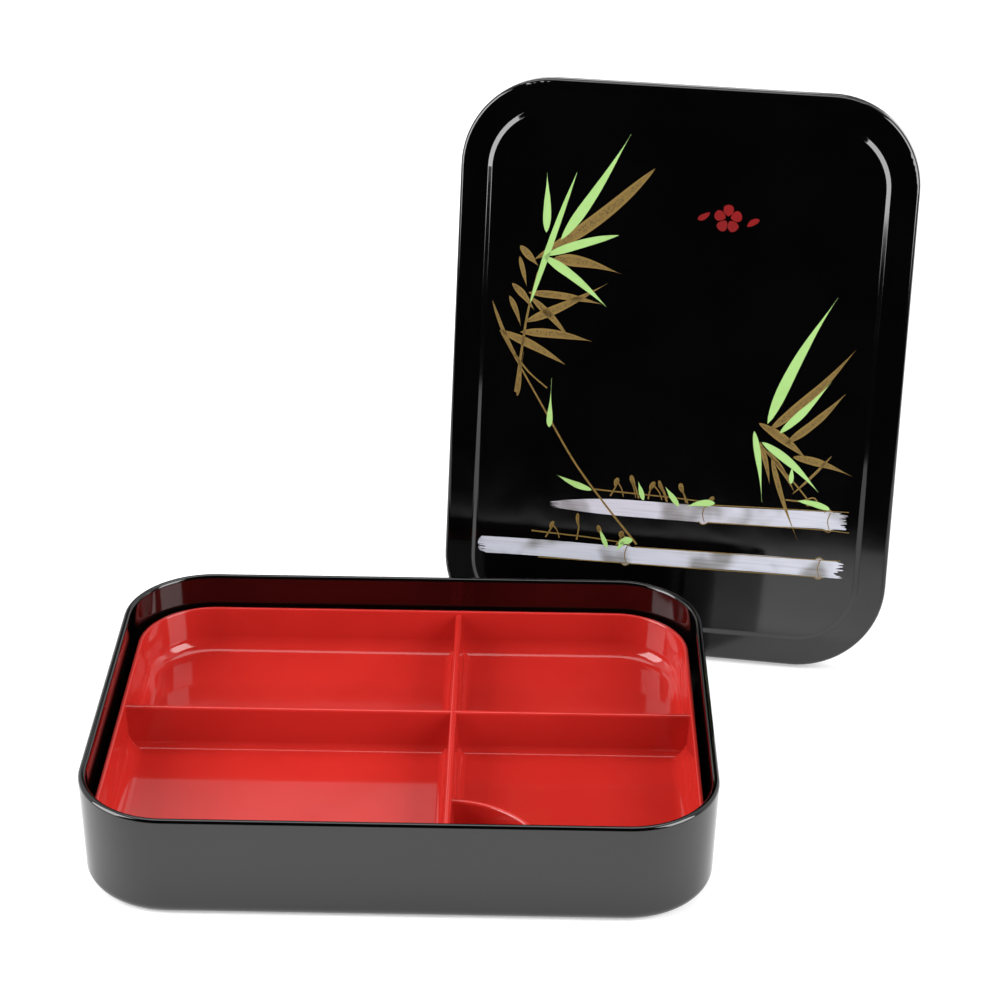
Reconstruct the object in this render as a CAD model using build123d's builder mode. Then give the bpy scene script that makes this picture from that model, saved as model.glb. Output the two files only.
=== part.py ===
"""Lacquered bento lunch box: a black case, a red divided tray that drops into
it, and a black lid that stands on its short edge behind the case.

Millimetres. +X runs along the case, +Y towards its back and +Z up. The origin
is the centre of the case's foot, on the surface that the box stands on.
"""
import os
from math import cos, radians, sin, tan

from build123d import *

os.makedirs("parts", exist_ok=True)

# Case, sizes at the outside of the rim.
case_length = 266.0
case_width = 206.0
case_height = 47.0
case_corner = 39.0  # plan radius of the four corners at the rim
case_wall = 3.1
case_floor = 3.0
case_inner_round = 5.0  # where the floor turns up into the wall
case_rim_round = 1.5
case_base_round = 5.0
case_draft = 1.4  # degrees; the walls close in towards the base

# Foot: the underside is hollow, and the foot is relieved along each side.
foot_width = 9.0
foot_height = 2.2
relief_height = 1.4
relief_margin_long = 48.0  # length of foot left at each end of a long side
relief_margin_short = 46.0
relief_ramp = 3.5

# Tray.
tray_rim_drop = 15.0  # from the case's rim down to the tray's rim
tray_gap = 2.15  # clearance between the tray and the case's wall
tray_wall = 2.0
tray_draft = 4.7  # degrees
tray_floor = 2.5
tray_foot_height = 3.5
tray_foot_radius = 7.0
tray_foot_inset = 30.0  # from the tray's rim to the centre of each foot
tray_inner_round = 7.0
tray_rim_round = 0.9

# Dividers of the tray.
rib_top = 2.6  # thickness just under the rounded top
rib_draft = 5.0
rib_foot_round = 3.6
rib_drop = 1.4  # top of the dividers below the tray's rim
long_rib_y = 10.0  # the divider that runs along X
cross_rib_x = 20.3  # the divider that runs along Y
sauce_radius = 42.0  # middle of the curved wall of the sauce corner
sauce_drop = 5.6  # its top below the tray's rim

# Lid, in its own frame: z = 0 is the seat that rests on the case's rim.
lid_clearance = 0.4  # between the skirt and the outside of the case's rim
lid_wall = 2.7
lid_plate = 2.2
lid_skirt = 6.0
lid_draft = 2.0
lid_edge_round = 2.0
lid_lip_round = 0.6
panel_border = 13.0  # flat border round the raised panel
panel_rise = 1.4
panel_slope = 58.0  # degrees from upright
panel_round = 1.2

# How the lid stands behind the case.
lid_side_shift = 16.0  # middle of its lower edge, in from the case's right side
lid_stand_off = 15.4  # and behind the case's rim
lid_lean = 12.5  # degrees, its top leaning back
lid_turn = 8.4  # degrees, its right side turned forward

# Heights.
case_floor_z = foot_height + case_floor
tray_rim_z = case_height - tray_rim_drop
tray_under_z = case_floor_z + tray_foot_height
tray_floor_z = tray_under_z + tray_floor
rib_top_z = tray_rim_z - rib_drop
sauce_top_z = tray_rim_z - sauce_drop

# Plan sizes that follow from the drafted walls.
case_slope = tan(radians(case_draft))
tray_inset = case_wall + tray_gap + tray_rim_drop * case_slope
tray_length = case_length - 2 * tray_inset
tray_width = case_width - 2 * tray_inset
tray_corner = case_corner - tray_inset
foot_inset = case_height * case_slope + foot_width
foot_length_in = case_length - 2 * foot_inset
foot_width_in = case_width - 2 * foot_inset

with BuildPart() as case:
    with BuildSketch(Plane.XY.offset(case_height)):
        RectangleRounded(case_length, case_width, case_corner)
    extrude(amount=-case_height, taper=case_draft)
    fillet(case.edges().group_by(Axis.Z)[0], case_base_round)
    # Relief along the middle of each side, with its ends eased into the foot.
    for plane, across, margin in (
        (Plane.XZ, case_length, relief_margin_long),
        (Plane.YZ, case_width, relief_margin_short),
    ):
        half = across / 2 - margin
        end = half + 2 * relief_ramp
        with BuildSketch(plane) as relief:
            with BuildLine():
                Polyline(
                    (-end, 0),
                    (-half, 0),
                    (-half + relief_ramp, relief_height),
                    (half - relief_ramp, relief_height),
                    (half, 0),
                    (end, 0),
                    (end, -1),
                    (-end, -1),
                    close=True,
                )
            make_face()
            fillet(relief.vertices().group_by(Axis.Y)[-1], relief_ramp)
            fillet(relief.vertices().group_by(Axis.Y)[1].sort_by(Axis.X)[1:3], relief_ramp)
        extrude(amount=across, both=True, mode=Mode.SUBTRACT)
    # Inside.
    with BuildSketch(Plane.XY.offset(case_height)):
        RectangleRounded(
            case_length - 2 * case_wall,
            case_width - 2 * case_wall,
            case_corner - case_wall,
        )
    extrude(amount=case_floor_z - case_height, taper=case_draft, mode=Mode.SUBTRACT)
    inner_floor = case.faces().filter_by(Plane.XY).sort_by(Axis.Z)[-2]
    fillet(inner_floor.edges(), case_inner_round)
    fillet(case.faces().sort_by(Axis.Z)[-1].edges(), case_rim_round)
    # Hollow under the case, which leaves the foot.
    with BuildSketch(Plane.XY):
        RectangleRounded(foot_length_in, foot_width_in, case_corner - foot_inset)
    extrude(amount=foot_height, mode=Mode.SUBTRACT)


def rib_outline(middle, top):
    """Closed outline of a divider: a narrow top, drafted sides, and a foot that
    reaches into the floor."""
    half_top = rib_top / 2
    half_foot = half_top + (top - tray_floor_z) * tan(radians(rib_draft))
    reach = half_foot + rib_foot_round + 1
    root = tray_floor_z - tray_floor / 2
    half = [
        (half_top, top),
        (half_foot, tray_floor_z),
        (reach, tray_floor_z),
        (reach, root),
    ]
    right = [(middle + x, z) for x, z in half]
    left = [(middle - x, z) for x, z in reversed(half)]
    return right + left


# The dividers end inside the tray's wall. The curved one runs from the front
# wall round to the cross divider.
along_x = Plane(origin=(0, long_rib_y, 0), x_dir=(0, 1, 0), z_dir=(1, 0, 0))
along_y = Plane(origin=(cross_rib_x, 0, 0), x_dir=(1, 0, 0), z_dir=(0, -1, 0))
sauce_centre = (cross_rib_x, tray_wall - tray_width / 2, 0)
from_corner = Plane(origin=sauce_centre, x_dir=(1, 0, 0), z_dir=(0, -1, 0))
with BuildPart() as dividers:
    for plane, middle, top, reach in (
        (along_x, 0, rib_top_z, tray_length / 2),
        (along_y, 0, rib_top_z, tray_width / 2),
        (from_corner, sauce_radius, sauce_top_z, 0),
    ):
        with BuildSketch(plane) as section:
            with BuildLine():
                Polyline(*rib_outline(middle, top), close=True)
            make_face()
            at_floor = section.vertices().group_by(Axis.Y)[1]
            at_foot = at_floor.sort_by(lambda v: abs(v.X - middle))[:2]
            fillet(at_foot, rib_foot_round)
            at_top = section.vertices().group_by(Axis.Y)[-1]
            fillet(at_top, rib_top * 0.45)
        if reach:
            extrude(amount=reach, both=True)
        else:
            revolve(axis=Axis(sauce_centre, (0, 0, 1)), revolution_arc=90)
    with BuildSketch(Plane.XY.offset(tray_rim_z)):
        RectangleRounded(
            tray_length - tray_wall,
            tray_width - tray_wall,
            tray_corner - tray_wall / 2,
        )
    extrude(amount=tray_under_z - tray_rim_z, taper=tray_draft, mode=Mode.INTERSECT)

with BuildPart() as tray:
    with BuildSketch(Plane.XY.offset(tray_rim_z)):
        RectangleRounded(tray_length, tray_width, tray_corner)
    extrude(amount=tray_under_z - tray_rim_z, taper=tray_draft)
    fillet(tray.edges().group_by(Axis.Z)[0], tray_inner_round + tray_wall / 2)
    with BuildSketch(Plane.XY.offset(tray_rim_z)):
        RectangleRounded(
            tray_length - 2 * tray_wall,
            tray_width - 2 * tray_wall,
            tray_corner - tray_wall,
        )
    extrude(amount=tray_floor_z - tray_rim_z, taper=tray_draft, mode=Mode.SUBTRACT)
    fillet(tray.faces().filter_by(Plane.XY).sort_by(Axis.Z)[1].edges(), tray_inner_round)
    fillet(tray.faces().sort_by(Axis.Z)[-1].edges(), tray_rim_round)
    add(dividers.part)
    with BuildSketch(Plane.XY.offset(case_floor_z)):
        foot_x = tray_length - 2 * tray_foot_inset
        foot_y = tray_width - 2 * tray_foot_inset
        with GridLocations(foot_x, foot_y, 2, 2):
            Circle(tray_foot_radius)
    extrude(amount=tray_foot_height)

# The lid's frame as it stands: x up its long side, z out of its face.
turn = radians(lid_turn)
lean = radians(lid_lean)
lid_up = Vector(sin(lean) * sin(turn), sin(lean) * cos(turn), cos(lean))
lid_out = Vector(-cos(lean) * sin(turn), -cos(lean) * cos(turn), sin(lean))
lid_length = case_length + 2 * (lid_clearance + lid_wall)
lid_width = case_width + 2 * (lid_clearance + lid_wall)
lid_corner = case_corner + lid_clearance + lid_wall
lip_spread = lid_skirt * tan(radians(lid_draft))
# Middle of the rounded edge that the lid stands on, and its height.
lip_x = lid_length / 2 + lip_spread - lid_lip_round
lip_z = lid_skirt - lid_lip_round
stand_point = Vector(
    case_length / 2 - lid_side_shift,
    case_width / 2 + lid_stand_off,
    lid_lip_round,
)
lid_plane = Plane(
    origin=stand_point + lid_up * lip_x + lid_out * lip_z,
    x_dir=lid_up,
    z_dir=lid_out,
)

with BuildPart() as lid:
    lip = lid_plane.offset(-lid_skirt)
    along = Axis(lid_plane.origin, lid_out)
    with BuildSketch(lip):
        RectangleRounded(
            lid_length + 2 * lip_spread,
            lid_width + 2 * lip_spread,
            lid_corner + lip_spread,
        )
    extrude(amount=lid_skirt + lid_plate, taper=lid_draft)
    fillet(lid.faces().sort_by(along)[-1].edges(), lid_edge_round)
    # Raised panel.
    panel_length = lid_length - 2 * panel_border
    panel_width = lid_width - 2 * panel_border
    panel_corner = lid_corner - panel_border
    with BuildSketch(lid_plane.offset(lid_plate)):
        RectangleRounded(panel_length, panel_width, panel_corner)
    extrude(amount=panel_rise, taper=panel_slope)
    panel_top, border = lid.faces().filter_by(lid_plane).sort_by(along)[-1:-3:-1]
    fillet(panel_top.edges() + border.inner_wires()[0].edges(), panel_round)
    # Inside of the skirt and the hollow under the panel.
    with BuildSketch(lip):
        RectangleRounded(
            case_length + 2 * lid_clearance + 2 * lip_spread,
            case_width + 2 * lid_clearance + 2 * lip_spread,
            case_corner + lid_clearance + lip_spread,
        )
    extrude(amount=lid_skirt, taper=lid_draft, mode=Mode.SUBTRACT)
    with BuildSketch(lid_plane):
        RectangleRounded(
            panel_length - 2 * lid_plate,
            panel_width - 2 * lid_plate,
            panel_corner - lid_plate,
        )
    extrude(amount=panel_rise, taper=panel_slope, mode=Mode.SUBTRACT)
    fillet(lid.faces().sort_by(along)[0].edges(), lid_lip_round)

case.part.label = "case"
tray.part.label = "tray"
lid.part.label = "lid"
export_step(case.part, "parts/case.step")
export_step(tray.part, "parts/tray.step")
export_step(lid.part, "parts/lid.step")
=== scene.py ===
# %% [markdown]
# # A lacquered lunch box
# The box has three real pieces: a black lacquered case, a red tray that lifts
# out of it, and a black lid that stands on edge behind them. Their shapes come
# from the CAD model. This lesson gives them light and finishes, and paints the
# bamboo decoration on the lid as thin films of ink that are real geometry.

# %% Load the CAD frame
import math

import bpy
import numpy as np
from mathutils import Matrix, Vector


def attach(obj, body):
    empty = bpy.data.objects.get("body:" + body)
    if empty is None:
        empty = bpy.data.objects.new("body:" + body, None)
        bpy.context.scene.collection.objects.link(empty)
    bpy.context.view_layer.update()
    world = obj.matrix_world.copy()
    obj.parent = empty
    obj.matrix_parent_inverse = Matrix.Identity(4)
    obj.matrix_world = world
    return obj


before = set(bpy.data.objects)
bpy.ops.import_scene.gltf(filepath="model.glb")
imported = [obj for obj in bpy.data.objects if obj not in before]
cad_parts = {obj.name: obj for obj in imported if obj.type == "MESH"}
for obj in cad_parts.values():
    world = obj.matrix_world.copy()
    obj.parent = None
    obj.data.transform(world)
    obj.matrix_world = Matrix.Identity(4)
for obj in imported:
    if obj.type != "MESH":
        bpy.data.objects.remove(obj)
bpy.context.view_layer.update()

MM = 0.001
scene = bpy.context.scene
print("CAD pieces:", sorted(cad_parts))

# %% [markdown]
# ## The camera
# A product shot of a low box is taken with a long lens from a little above, so
# that the sides stay nearly parallel. The camera stands almost a metre in
# front of the box and looks down at it by about 27 degrees.

# %% Camera
camera_data = bpy.data.cameras.new("camera")
camera_data.sensor_width = 36.0
camera_data.lens = 90.774  # mm
camera = bpy.data.objects.new("camera", camera_data)
camera.location = (0.04824, -0.94049, 0.62747)
camera.rotation_euler = [math.radians(a) for a in (62.66632, -0.60010, 0.81193)]
scene.collection.objects.link(camera)
scene.camera = camera
print("camera at", [round(x, 3) for x in camera.location], "m, lens",
      round(camera_data.lens, 1), "mm")

# %% [markdown]
# ## A way to write shader maths
# A material in Blender is a graph of nodes. Wrapping one output socket in a
# small class lets the arithmetic be written as Python expressions, so that
# `1 - mask * 0.5` adds its own Math nodes. Colours go through a Mix node,
# because a Math node would turn them grey.

# %% Signals: sockets that do arithmetic
class Signal:
    """One output of a node tree, with operators that add Math nodes."""

    def __init__(self, tree, socket):
        self.tree = tree
        self.socket = socket

    @classmethod
    def node(cls, tree, kind, settings=None, inputs=None, output=0):
        """Adds a node: its settings first, then the value or link of each input."""
        made = tree.nodes.new(kind)
        for name, value in (settings or {}).items():
            setattr(made, name, value)
        for name, value in (inputs or {}).items():
            if isinstance(value, cls):
                tree.links.new(value.socket, made.inputs[name])
            else:
                made.inputs[name].default_value = value
        return cls(tree, made.outputs[output]) if made.outputs else None

    def math(self, operation, first, second=0.0):
        """One Math node on two values, either of which may be a plain number."""
        return Signal.node(
            self.tree, "ShaderNodeMath", {"operation": operation},
            {0: first, 1: second},
        )

    def __add__(self, other):
        return self.math("ADD", self, other)

    __radd__ = __add__

    def __sub__(self, other):
        return self.math("SUBTRACT", self, other)

    def __rsub__(self, other):
        return self.math("SUBTRACT", other, self)

    def __mul__(self, other):
        return self.math("MULTIPLY", self, other)

    __rmul__ = __mul__

    def __abs__(self):
        return self.math("ABSOLUTE", self)

    def ramp(self, low, high):
        """0 below low, 1 above high, and a smooth rise between them."""
        return Signal.node(
            self.tree, "ShaderNodeMapRange",
            {"interpolation_type": "SMOOTHSTEP"},
            {"Value": self, "From Min": low, "From Max": high},
        )

    def between(self, first, second):
        """A colour: first where this value is 0, second where it is 1."""
        first, second = (
            (*c, 1.0) if isinstance(c, tuple) else c for c in (first, second)
        )
        return Signal.node(
            self.tree, "ShaderNodeMix", {"data_type": "RGBA"},
            {0: self, 6: first, 7: second}, output=2,
        )


print("signals ready")

# %% [markdown]
# ## The studio
# The box stands on a white table between two tall softboxes. A glossy black
# surface has almost no colour of its own: what shows on it is the room. The
# room is pale behind the box and dark on the camera's side, which is why the
# lid looks black, while the front of the case, which mirrors the table, looks
# grey. The room is painted on the world by direction, because a world costs
# nothing to render, and the camera itself sees it plain white.

# %% Room
DARK_WALL = (0.004, 0.004, 0.005)
PALE_WALL = (0.92, 0.93, 0.94)
WHITE = (1.0, 1.0, 1.0)


def axis_of(vector, axis):
    """The X, Y or Z part of a signal that carries a vector."""
    return Signal.node(
        vector.tree, "ShaderNodeSeparateXYZ", None, {0: vector}, axis
    )


def paint_room():
    """Pale behind and high up, dark ahead; plain white for the camera.

    Straight behind the box the pale part begins 33 degrees up, over a dark
    gap; to both sides of that it reaches down to the table.
    """
    world = bpy.data.worlds.new("room")
    scene.world = world
    world.use_nodes = True
    tree = world.node_tree
    tree.nodes.clear()
    way = Signal.node(tree, "ShaderNodeTexCoord", output="Generated")
    side, back, rise = (axis_of(way, axis) for axis in "XYZ")
    gap = (1.0 - abs(side).ramp(0.22, 0.42)) * (1.0 - rise.ramp(0.535, 0.565))
    pale = back.ramp(-0.20, 0.30) * (1.0 - 0.9 * gap)
    dimmer = 1.0 - 0.5 * rise.ramp(0.70, 0.95)
    glow = (pale * dimmer).between(DARK_WALL, PALE_WALL)
    lit = Signal.node(
        tree, "ShaderNodeBackground", None, {"Color": glow, "Strength": 1.0}
    )
    white = Signal.node(
        tree, "ShaderNodeBackground", None,
        {"Color": (*WHITE, 1.0), "Strength": 1.0},
    )
    seen = Signal.node(tree, "ShaderNodeLightPath", output="Is Camera Ray")
    both = Signal.node(
        tree, "ShaderNodeMixShader", None, {0: seen, 1: lit, 2: white}
    )
    Signal.node(tree, "ShaderNodeOutputWorld", None, {"Surface": both})


paint_room()
scene.view_settings.view_transform = "Standard"
print("room painted on", scene.world.name)

# %% Softboxes
def softbox(name, place, aim, size, radiance):
    """A rectangular light at place that faces aim and that the camera can't see.

    Its power in watts is pi * area * radiance, so the radiance is what a
    mirror would show of it, with 1 as bright as white paper.
    """
    data = bpy.data.lights.new(name, "AREA")
    data.shape = "RECTANGLE"
    data.size, data.size_y = size
    data.energy = math.pi * size[0] * size[1] * radiance
    lamp = bpy.data.objects.new(name, data)
    lamp.location = place
    away = Vector(place) - Vector(aim)
    lamp.rotation_euler = away.to_track_quat("Z", "Y").to_euler()
    lamp.visible_camera = False
    scene.collection.objects.link(lamp)
    print(name, "power", round(data.energy, 1), "W")


softbox("softbox_left", (-1.20, -0.30, 0.72), (0.0, 0.0, 0.10), (0.9, 1.3), 8.0)
softbox("softbox_right", (1.20, -0.55, 0.72), (0.1, 0.0, 0.10), (0.9, 1.3), 8.0)
softbox("softbox_over", (0.0, 0.45, 1.60), (0.0, 0.1, 0.0), (1.4, 0.9), 2.4)

# %% [markdown]
# ## The table
# A white table top shows in the glossy pieces, so its size and its brightness
# are part of the light. It ends a metre in front of the box, which leaves only
# the foot of the standing lid grey, and close at both sides. A painted glow of
# its own, rising towards the back, keeps it white without washing out the light
# shadows in front of the box. Beside the box, where the softboxes strike it
# most, the paper is painted greyer as painted shade, so the corners of the case don't
# glare.

# %% Table
TABLE_SIDE, TABLE_FRONT, TABLE_BACK = 0.8, -1.0, 6.0
table_mesh = bpy.data.meshes.new("table")
table_mesh.from_pydata(
    [(-TABLE_SIDE, TABLE_FRONT, 0), (TABLE_SIDE, TABLE_FRONT, 0),
     (TABLE_SIDE, TABLE_BACK, 0), (-TABLE_SIDE, TABLE_BACK, 0)],
    [], [(0, 1, 2, 3)],
)
table = bpy.data.objects.new("table", table_mesh)
scene.collection.objects.link(table)


def new_finish(name):
    """A new material, its node tree, and its Principled shader."""
    material = bpy.data.materials.new(name)
    material.use_nodes = True
    tree = material.node_tree
    return material, tree, tree.nodes["Principled BSDF"]


def feed(tree, shader, **inputs):
    """Sets the shader's sockets: a link for a signal, otherwise a value."""
    for name, value in inputs.items():
        socket = shader.inputs[name.replace("_", " ")]
        if isinstance(value, Signal):
            tree.links.new(value.socket, socket)
        else:
            socket.default_value = (*value, 1.0) if isinstance(value, tuple) else value


paper, tree, shader = new_finish("paper")
spot = Signal.node(tree, "ShaderNodeTexCoord", output="Object")
depth = axis_of(spot, "Y")
# painted glow: the table gives off light of its own, more towards the back and less
# just in front of the box
glow = 0.40 * depth.ramp(-0.35, -0.02) + 0.50 * depth.ramp(0.30, 1.20)
# painted shade: the paper is painted darker beside the box, where the softboxes light
# it most
painted_shade_beside = abs(axis_of(spot, "X")).ramp(0.05, 0.40)
feed(tree, shader,
     Base_Color=painted_shade_beside.between((0.80, 0.80, 0.80), (0.42, 0.42, 0.42)),
     Roughness=1.0, Specular_IOR_Level=0.0,
     Emission_Color=glow.between((0.0, 0.0, 0.0), WHITE), Emission_Strength=1.0)
table_mesh.materials.append(paper)
print("table", 2 * TABLE_SIDE, "by", TABLE_BACK - TABLE_FRONT, "m")

# %% [markdown]
# ## Black lacquer and red plastic
# Both are moulded and polished, so the real surface is almost a mirror, with a
# faint waviness from the mould and a haze of handling that makes some patches
# a little less sharp than others. The colour itself hardly varies. Noise on
# the object's own coordinates drives the haze and the colour, and a very weak
# bump bends the reflections the way a moulded wall does.

# %% Moulded gloss
def noise(tree, scale, detail=3.0, place=None):
    """Soft noise; scale is per metre of the object's own coordinates."""
    place = place or Signal.node(tree, "ShaderNodeTexCoord", output="Object")
    return Signal.node(
        tree, "ShaderNodeTexNoise", None,
        {"Vector": place, "Scale": scale, "Detail": detail},
    )


def moulded(name, light, deep, sharp, haze, ior, wave):
    """Polished moulded plastic between two colours and two roughnesses.

    colour = light to deep by noise, roughness = sharp + haze * noise, and
    the bump is wave metres deep over a few centimetres.
    """
    material, tree, shader = new_finish(name)
    cloud = noise(tree, 22.0)
    handled = noise(tree, 60.0, 5.0)
    bent = Signal.node(
        tree, "ShaderNodeBump", None,
        {"Strength": 1.0, "Distance": wave, "Height": noise(tree, 28.0, 1.0)},
    )
    feed(tree, shader,
         Base_Color=cloud.ramp(0.3, 0.7).between(light, deep),
         Roughness=sharp + haze * handled.ramp(0.35, 0.75),
         Normal=bent,
         IOR=ior)
    return material


black_lacquer = moulded(
    "black_lacquer", (0.0012, 0.0011, 0.0012), (0.0008, 0.0007, 0.0008),
    0.055, 0.03, 1.58, 0.00006,
)
red_plastic = moulded(
    "red_plastic", (0.49, 0.0215, 0.0165), (0.45, 0.0185, 0.0140),
    0.085, 0.04, 1.50, 0.00004,
)
for node, finish in (
    ("case", black_lacquer), ("lid", black_lacquer), ("tray", red_plastic)
):
    for material_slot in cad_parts[node].material_slots:
        material_slot.material = finish
    print(node, "is finished in", finish.name)

# %% [markdown]
# ## Where the lid's face is
# The decoration is printed on the raised panel of the lid, which leans back
# and is turned a little. The panel holds the lid's largest triangle, so that
# triangle's normal gives the direction out of the face, and the corners of the
# lid's mesh give the middle of the face. The ink then always lands on it.

# %% Lid directions
def mesh_values(collection, name, width):
    """One property of all vertices or faces, as an array with width columns."""
    flat = np.empty(len(collection) * width)
    collection.foreach_get(name, flat)
    return flat.reshape(-1, width)


lid_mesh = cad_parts["lid"].data
lid_points = mesh_values(lid_mesh.vertices, "co", 3)
lid_normals = mesh_values(lid_mesh.polygons, "normal", 3)
lid_areas = mesh_values(lid_mesh.polygons, "area", 1)[:, 0]
lid_out = lid_normals[np.argmax(lid_areas * (lid_normals[:, 1] < -0.5))]
lid_right = np.array([-lid_out[1], lid_out[0], 0.0])
lid_right /= np.linalg.norm(lid_right)
lid_up = np.cross(lid_out, lid_right)
face_right = lid_points @ lid_right
face_up = lid_points @ lid_up
face_middle = (
    lid_right * (face_right.min() + face_right.max()) / 2
    + lid_up * (face_up.min() + face_up.max()) / 2
    + lid_out * (lid_points @ lid_out).max()
)
print("lid face", round(np.ptp(face_right) / MM, 1), "by",
      round(np.ptp(face_up) / MM, 1), "mm, leaning back",
      round(math.degrees(math.asin(lid_out[2])), 1), "degrees")


def on_lid(right, up, lift):
    """Points of the row frame from places on the lid's face, all in mm.

    point = middle of the panel + right * to the right + up * upwards
            + lift * away from the panel
    """
    return face_middle + MM * (
        right[..., None] * lid_right + up[..., None] * lid_up + lift * lid_out
    )


# %% [markdown]
# ## Ink as geometry
# Screen-printed ink lies on the panel as a film with a crisp edge. Each brush
# mark is a patch: a grid with one parameter along the stroke and one across
# it. The patch gets a second layer just under the panel's surface and a wall
# round its edge, so every mark is a closed, very thin solid.

# %% Closed film from a patch
INK_ROOT = 0.02  # mm


def film(patch, lift):
    """A closed slab over a patch of face points, with its faces outwards.

    patch has rows along the stroke, columns from its left edge to its right,
    and face coordinates in mm. The top is lift above the panel, the bottom
    INK_ROOT below it, and a wall joins the two round the patch's edge.
    """
    rows, columns = patch.shape[:2]
    count = rows * columns
    points = np.concatenate([
        on_lid(patch[..., 0], patch[..., 1], height).reshape(-1, 3)
        for height in (lift, -INK_ROOT)
    ])
    grid = np.arange(count).reshape(rows, columns)
    top = np.stack([grid[:-1, :-1], grid[:-1, 1:], grid[1:, 1:], grid[1:, :-1]], -1)
    top = top.reshape(-1, 4)
    edge = np.concatenate([
        grid[0, :-1], grid[:-1, -1], grid[-1, :0:-1], grid[:0:-1, 0]
    ])
    after = np.roll(edge, -1)
    wall = np.stack([after, edge, edge + count, after + count], -1)
    faces = np.concatenate([top, top[:, ::-1] + count, wall])
    across = np.tile(np.linspace(-1, 1, columns), 2 * rows)
    return points, faces, across


def ink_piece(name, patches, lift, finish):
    """Joins the films of several patches into one piece that rides on the lid."""
    parts = [film(patch, lift) for patch in patches]
    starts = np.cumsum([0] + [len(points) for points, _, _ in parts[:-1]])
    points = np.concatenate([part[0] for part in parts])
    faces = np.concatenate([part[1] + start for part, start in zip(parts, starts)])
    across = np.concatenate([part[2] for part in parts]).astype(np.float32)
    mesh = bpy.data.meshes.new(name)
    mesh.from_pydata(points.tolist(), [], faces.tolist())
    mesh.attributes.new("across", "FLOAT", "POINT").data.foreach_set("value", across)
    mesh.materials.append(finish)
    piece = bpy.data.objects.new(name, mesh)
    scene.collection.objects.link(piece)
    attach(piece, "lid")
    print(name, "has", len(patches), "marks and", len(faces), "faces")


# %% [markdown]
# ## Brush marks
# A bamboo leaf is one press and lift of the brush: it starts in a short point,
# swells, and runs out in a long fine tip. A stem is one even pull. Both are a
# width carried along a centre line, so one function turns a centre line and a
# width into a patch, and the others only choose them. Places are in mm on the
# lid's face, to the right and upwards from its middle.

# %% Strokes, leaves and stems
brush = np.random.default_rng(7)  # the small unevenness of the hand
FINEST = 0.08  # mm, the narrowest a mark gets at its tip


def stroke(line, width):
    """A patch round a centre line: the line plus and minus half its width.

    The left edge is line + width / 2 * normal and the right edge is line
    - width / 2 * normal, where the normal is the line's direction turned left.
    """
    way = np.gradient(line, axis=0)
    way /= np.linalg.norm(way, axis=1, keepdims=True)
    normal = np.stack([-way[:, 1], way[:, 0]], -1)
    half = np.maximum(width, FINEST) / 2
    side = np.linspace(1, -1, 5)[None, :, None]
    return line[:, None] + side * half[:, None, None] * normal[:, None]


def leaf(base, tip, width, bend=0.0, belly=0.36, steps=26):
    """One leaf from base to tip, width mm across at its belly.

    The centre line is straight plus bend * sin(pi t) to its left. The width
    is t^a * (1 - t)^b, scaled to reach its most at t = belly, with a little
    unevenness from the hand.
    """
    t = np.linspace(0, 1, steps)
    base, tip = np.array(base, float), np.array(tip, float)
    way = (tip - base) / np.linalg.norm(tip - base)
    bow = bend * np.sin(np.pi * t)[:, None] * np.array([-way[1], way[0]])
    line = base + t[:, None] * (tip - base) + bow
    a = 0.75
    b = a * (1 - belly) / belly
    swell = t ** a * (1 - t) ** b / (belly ** a * (1 - belly) ** b)
    hand = 1 + 0.05 * np.interp(t, np.linspace(0, 1, 6), brush.normal(size=6))
    return stroke(line, width * swell * hand)


def stem(points, width, taper=0.7, steps=12):
    """A pulled line through the given points, thinning to taper at its end.

    Between two points the line is the Catmull-Rom cubic through them and
    their neighbours.
    """
    points = np.array(points, float)
    ends = np.concatenate([
        [2 * points[0] - points[1]], points, [2 * points[-1] - points[-2]]
    ])
    spans = len(points) - 1
    at = np.linspace(0, spans, spans * steps + 1)
    i = np.minimum(at.astype(int), spans - 1)
    t = (at - i)[:, None]
    p, q, r, s = ends[i], ends[i + 1], ends[i + 2], ends[i + 3]
    line = 0.5 * (2 * q + (r - p) * t + (2 * p - 5 * q + 4 * r - s) * t ** 2
                  + (3 * q - p - 3 * r + s) * t ** 3)
    return stroke(line, width * (1 - (1 - taper) * at / spans))


# %% [markdown]
# ## Inks
# The leaf green is opaque and even. The gold is printed through a coarse
# screen: its edge is solid and its middle is speckled with the black below.
# The silver is pulled dry, so it is streaked along the stroke and clouded with
# grey. Each mark carries a value across it, from -1 at its left edge to 1 at
# its right, and the materials use it to find the edge.

# %% Ink finishes
def rim_of_mark(tree, start):
    """0 inside a mark and 1 at its edge; start is where it begins to rise."""
    across = Signal.node(
        tree, "ShaderNodeAttribute", {"attribute_name": "across"}, output="Fac"
    )
    return abs(across).ramp(start, min(start + 0.2, 1.0))


def even_ink(name, flat, deep):
    """An opaque ink, a little deeper in faint clouds and along its edge."""
    material, tree, shader = new_finish(name)
    cloud = noise(tree, 110.0, 4.0)
    tone = 0.6 * cloud.ramp(0.4, 0.7) + 0.4 * rim_of_mark(tree, 0.8)
    feed(tree, shader,
         Base_Color=tone.between(flat, deep), Roughness=0.32 + 0.1 * cloud)
    return material


def speckled_ink(name, solid, speck):
    """Gold dust: solid along the edge, with dark specks over the middle."""
    material, tree, shader = new_finish(name)
    grain = noise(tree, 1900.0, 2.0)
    specks = grain.ramp(0.46, 0.62) * (1.0 - rim_of_mark(tree, 0.45))
    feed(tree, shader,
         Base_Color=specks.between(solid, speck), Roughness=0.42 + 0.15 * grain)
    return material


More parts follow.
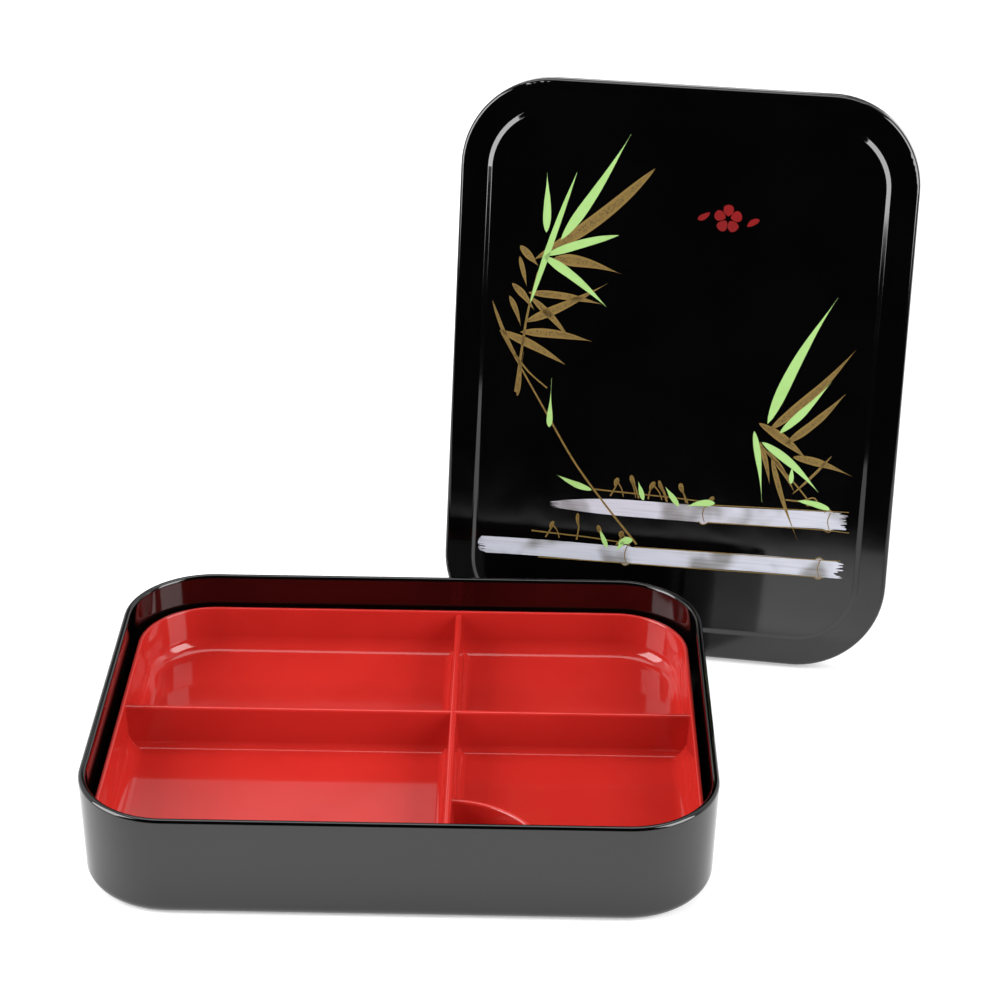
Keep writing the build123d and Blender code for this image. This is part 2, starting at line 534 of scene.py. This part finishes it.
def dry_ink(name, bright, grey):
    """Silver pulled dry: streaks along the culm under soft grey clouds."""
    material, tree, shader = new_finish(name)
    place = Signal.node(tree, "ShaderNodeTexCoord", output="Object")
    stretch = Signal.node(
        tree, "ShaderNodeMapping", {"vector_type": "POINT"},
        {"Vector": place, "Rotation": (0.0, 0.05, 0.0),
         "Scale": (40.0, 40.0, 1400.0)},
    )
    streak = noise(tree, 1.0, 2.0, stretch)
    cloud = noise(tree, 26.0)
    tone = 0.8 * cloud.ramp(0.50, 0.62) + 0.25 * streak.ramp(0.45, 0.75)
    feed(tree, shader,
         Base_Color=tone.between(bright, grey), Roughness=0.38 + 0.1 * streak)
    return material


green_ink = even_ink("green_print", (0.335, 0.56, 0.19), (0.29, 0.50, 0.15))
red_ink = even_ink("red_print", (0.20, 0.004, 0.005), (0.15, 0.003, 0.004))
gold_ink = speckled_ink("gold_print", (0.190, 0.122, 0.026), (0.055, 0.034, 0.007))
silver_ink = dry_ink("silver_print", (0.49, 0.50, 0.57), (0.155, 0.15, 0.145))
print("inks:", *(ink.name for ink in (green_ink, red_ink, gold_ink, silver_ink)))

# %% [markdown]
# ## The left spray
# A thin branch rises from the lower culm to the left edge and carries a fan of
# leaves. The gold leaves are printed first, so they lie lower than the green
# ones, which cross over them.

# %% Left spray
left_gold = [
    leaf((-69, 52), (-15, 98), 6.0, bend=-2.6, belly=0.5),
    leaf((-60, 53), (-28, 48), 5.4, bend=1.4, belly=0.3),
    leaf((-76, 58), (-67, 49), 3.6),
    leaf((-76, 53), (-72, 39), 2.4),
    leaf((-71, 36), (-36, 33), 3.8, bend=1.0),
    leaf((-72, 22), (-34, 43), 4.4, bend=-0.8, belly=0.3),
    leaf((-70, 34), (-50, 15), 3.2, bend=0.8),
    leaf((-79, 40), (-68, 28), 3.2, bend=0.6),
    leaf((-80, 34), (-74, 20), 2.4, bend=0.5),
    leaf((-74, 17), (-40, 15), 4.2, bend=1.2),
    leaf((-84, 17), (-52, 3), 4.2, bend=1.0, belly=0.4),
    leaf((-88, 31), (-73, 1), 1.8, bend=-1.0, belly=0.5),
    leaf((-74, -14), (-72, 8), 1.9, belly=0.2),
    stem([(-75, -12), (-73, 8), (-71, 26), (-67, 46)], 1.2),
    stem([(-76, 6), (-69, -2), (-60, -9)], 0.9),
    stem([(-13, -82), (-28, -65), (-45, -44), (-61, -19), (-73, 0), (-83, 16)], 1.0),
]
left_green = [
    leaf((-57, 62), (-27, 113), 4.7, bend=-1.0, belly=0.30),
    leaf((-70, 31), (-51, 94), 2.9, bend=0.5, belly=0.42),
    leaf((-64, 65), (-65, 93), 3.7, bend=-0.3, belly=0.30),
    leaf((-64, 54), (-30, 66), 4.4, bend=0.8, belly=0.45),
    leaf((-65, 54), (-34, 32), 4.2, bend=1.2, belly=0.35),
    leaf((-58, -28), (-58, -4), 2.9, belly=0.16),
    leaf((-36, -57), (-53, -51), 3.0, bend=0.6, belly=0.35),
]
ink_piece("left_spray_gold", left_gold, 0.05, gold_ink)
ink_piece("left_spray_green", left_green, 0.07, green_ink)

# %% [markdown]
# ## The right spray
# The second spray hangs over the right end of the culms. It is built in the
# same way, with one long green leaf that rises over the others and leads the
# eye up into the empty part of the panel.

# %% Right spray
right_gold = [
    leaf((46, -21), (83, 20), 4.9, bend=-1.8, belly=0.34),
    leaf((54, -27), (80, -1), 4.0, bend=-1.2, belly=0.36),
    leaf((41, -18), (64, -33), 4.2, bend=0.8, belly=0.4),
    leaf((58, -33), (86, -40), 3.8, bend=1.2, belly=0.30),
    leaf((42, -27), (48, -47), 2.4, bend=0.6),
    leaf((48, -34), (63, -73), 2.6, bend=-1.0, belly=0.28),
    leaf((46, -31), (60, -50), 2.2, bend=0.8),
    leaf((59, -51), (76, -31), 1.3, bend=-0.5, belly=0.5),
    stem([(44, -30), (53, -39), (61, -47), (69, -56)], 0.9),
    stem([(56, -54), (63, -54), (69, -52), (71, -55), (66, -56)], 0.8),
]
right_green = [
    leaf((45, -18), (73, 44), 5.4, bend=2.0, belly=0.30),
    leaf((51, -22), (73, 4), 3.7, bend=-0.8, belly=0.30),
    leaf((39, -22), (45, -56), 3.1, bend=0.6, belly=0.25),
    leaf((43, -27), (71, -49), 3.9, bend=1.6, belly=0.34),
    leaf((58, -46), (58, -37), 2.2, belly=0.3),
    leaf((62, -54), (77, -57), 2.8, bend=0.6, belly=0.6),
]
ink_piece("right_spray_gold", right_gold, 0.05, gold_ink)
ink_piece("right_spray_green", right_green, 0.07, green_ink)

# %% [markdown]
# ## The culms
# Two silver culms lie across the foot of the panel. Each is one pull of a wide
# dry brush, whose bristles start and leave the surface at different places.
# The patch therefore has ragged ends: every line along the stroke has its own
# start and its own end. A narrow swelling marks each joint of the bamboo, at
# its distance from the left end.

# %% Culms
def culm(left, right, width, joints, thin, teeth=24, steps=150):
    """A dry pull from left to right, thin mm of it growing to full width.

    A point is left + along * direction + (s * half + wave) * normal, where
    along runs between the bristle's own ends, half is width / 2 times a
    growth from the left end plus a narrow bell curve at each joint, and s
    goes from 1 at the upper edge to -1 at the lower one.
    """
    left, right = np.array(left, float), np.array(right, float)
    t = np.linspace(0, 1, steps)[:, None]
    s = np.linspace(1, -1, teeth)[None, :]
    early = brush.uniform(0, 1, teeth) ** 1.5 * 6.0
    late = brush.uniform(0, 1, teeth) ** 1.5 * 5.0
    length = np.linalg.norm(right - left)
    way = (right - left) / length
    normal = np.array([-way[1], way[0]])
    along = early + t * (length - early - late)
    growth = 1 - 0.7 * np.clip(1 - along / thin, 0, 1) ** 2
    swelling = sum(np.exp(-((along - joint) / 1.5) ** 2) for joint in joints)
    half = width / 2 * growth + 0.9 * swelling
    wave = 0.3 * np.sin(along / 17.0)
    return (left + along[..., None] * way
            + (s * half + wave)[..., None] * normal)


upper_culm = culm((-56, -65.5), (86, -62.5), 8.2, (74.0, 133.0), 40.0)
lower_culm = culm((-90, -88.5), (86, -86.0), 8.2, (72.0, 164.0), 2.0)
ink_piece("upper_culm", [upper_culm], 0.03, silver_ink)
ink_piece("lower_culm", [lower_culm], 0.03, silver_ink)

# %% [markdown]
# ## Twigs and outlines
# Fine gold lines edge the culms and mark their joints. From each culm rises a
# low row of twigs: a bent stalk with a folded bud on it, and here and there a
# green bud between them. One function draws a twig from its place, height and
# lean, and the brush varies the rest.

# %% Twigs and joints
FINE_LINE, TWIG_LINE = 0.5, 0.7  # mm


def twig(right, up, tall, lean):
    """A bent stalk with a folded bud, and a short spur that turns back from it.

    The stalk runs from the foot to the bud at (right + lean, up + tall); its
    bow, the bud's width and the spur's reach are drawn from the brush.
    """
    bow, full, reach = brush.uniform((-1.0, 1.5, 1.8), (1.0, 2.5, 4.2))
    top = np.array([right + lean, up + tall])
    foot = np.array([right - 0.4 * lean, up - 1.2])
    middle = (foot + top) / 2 + (bow, 0.0)
    marks = [stem([foot, middle, top - (0.0, 0.25 * tall)], 0.75),
             leaf(middle, top, full, bend=0.4, belly=0.6, steps=16)]
    if reach > 2.3:
        marks.append(stem([top - (0.0, 0.3 * tall),
                           (top[0] + 0.6 * reach, up + 0.35 * tall),
                           (top[0] + reach, up - 1.0)], 0.6))
    return marks


def joint_mark(right, up, half):
    """A short curve over and under a swollen joint, and one across it."""
    round_it = [
        stem([(right - 2.4, up + side * (half - 0.2)),
              (right, up + side * (half + 1.1)),
              (right + 2.4, up + side * (half - 0.1))], FINE_LINE)
        for side in (1, -1)
    ]
    across_it = stem([(right + 0.6, up + half), (right - 0.5, up),
                      (right + 0.6, up - half)], FINE_LINE)
    return round_it + [across_it]


# %% Twigs, outlines and buds
twig_marks = []
for right, up, tall, lean in (
    (-26, -58, 8.0, 2.5), (-14.5, -58, 10.0, -3.0), (-8, -58, 7.5, 2.0),
    (-1, -58.5, 9.0, -3.2), (9, -58.5, 8.5, -2.8), (20, -59.5, 4.0, 2.5),
    (-56, -81, 7.0, 2.6), (-42, -81, 12.0, 0.0), (-29, -81.5, 7.5, -3.0),
    (-22, -82, 6.0, 2.0),
):
    twig_marks += twig(right, up, tall, lean)
twig_marks += [
    stem([(-35, -56.5), (-16, -57.0), (4, -57.5), (22, -58.5)], TWIG_LINE),
    stem([(-64, -79.5), (-50, -80), (-36, -80.5), (-22, -81.5)], TWIG_LINE),
    stem([(20, -59.6), (44, -58.8), (66, -58.2), (86, -57.6)], FINE_LINE),
    stem([(20, -68.2), (48, -67.6), (74, -67.2), (87, -67.6)], FINE_LINE),
    stem([(-14, -83.4), (20, -82.8), (56, -82.4), (84, -81.8)], FINE_LINE),
    stem([(-60, -92.4), (-20, -91.8), (30, -91.2), (76, -90.4)], FINE_LINE),
]
twig_marks += joint_mark(18.0, -64.0, 4.3) + joint_mark(77.0, -62.7, 4.3)
twig_marks += joint_mark(-18.0, -87.5, 4.3) + joint_mark(74.0, -86.2, 4.3)
bud_marks = [
    leaf((-11, -60), (-14, -51), 2.4, belly=0.35),
    leaf((6, -61.5), (-1, -52.5), 2.6, belly=0.35),
    leaf((23, -58.5), (9, -61.5), 3.2, bend=-0.8, belly=0.3),
    leaf((-27, -85), (-31, -76.5), 2.3, belly=0.4),
    leaf((-15, -80), (-22, -82.5), 3.6, bend=-0.5, belly=0.4),
    leaf((-19, -81), (-23, -86), 2.0, belly=0.35),
]
ink_piece("twigs_and_outlines", twig_marks, 0.06, gold_ink)
ink_piece("green_buds", bud_marks, 0.08, green_ink)

# %% [markdown]
# ## A red blossom
# A small red mark balances the open black of the panel. It is a plain plum
# blossom of five round petals with a loose petal on each side, the most
# ordinary motif there is for this kind of box.

# %% Blossom
heart = np.array([20.0, 77.0])  # mm, the middle of the blossom
petals = []
for turn in range(5):
    angle = math.radians(90 + 72 * turn)
    out = np.array([math.cos(angle), math.sin(angle)])
    petals.append(
        leaf(heart + 1.2 * out, heart + 6.6 * out, 5.0, belly=0.62, steps=18)
    )
petals += [
    leaf((29, 74), (34.5, 77.5), 2.8, bend=0.4, belly=0.55, steps=14),
    leaf((11.5, 79.5), (6, 76), 2.8, bend=0.4, belly=0.55, steps=14),
]
ink_piece("red_blossom", petals, 0.05, red_ink)
